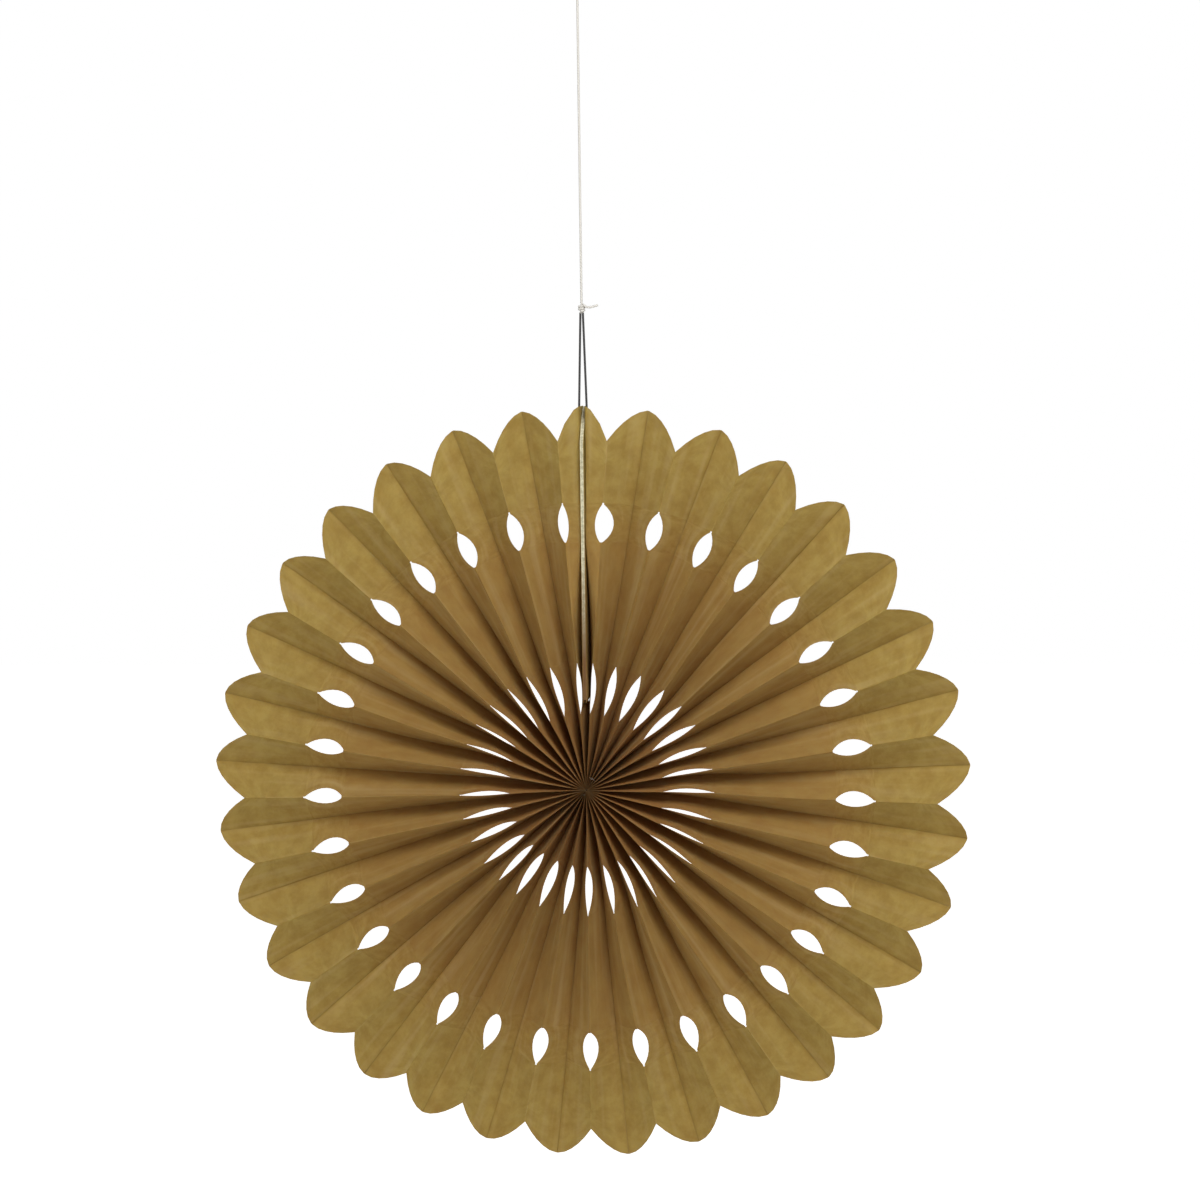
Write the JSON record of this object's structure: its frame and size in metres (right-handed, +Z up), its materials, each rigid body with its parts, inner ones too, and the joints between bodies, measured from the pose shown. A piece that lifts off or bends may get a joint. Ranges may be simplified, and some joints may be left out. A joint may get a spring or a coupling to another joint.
{
  "type": "paper fan rosette",
  "caption": "Round pleated tissue-paper fan with petal tips, leaf-shaped cut-outs and slits in its folds, joined at a stiff card seam and hung by a knotted string with a loop.",
  "frame": {"origin": "the hub of the opened fan, in the middle of its depth", "axes": "+Z up the seam towards the hanging loop, +Y along the fan's axis towards its back, +X to the right seen from the front"},
  "size_m": [0.4052, 0.0216, 0.6847],
  "materials": {
    "tissue": "matte ochre-gold tissue paper, folded and die-cut",
    "card": "pale grey card, uncoated",
    "tape": "double-sided tissue tape",
    "thread": "twisted cotton thread",
    "string": "twisted white cotton string",
    "loop_thread": "grey twisted thread, doubled through the cards"
  },
  "bodies": {
    "root": {"pleated_paper": "tissue", "left_end_card": "card", "right_end_card": "card", "seam_tape": "tape", "binding_thread": "thread", "string_loop": "loop_thread", "lower_knot": "string", "hanging_string": "string", "upper_knot": "string", "top_loop": "string"}
  },
  "joints": []
}
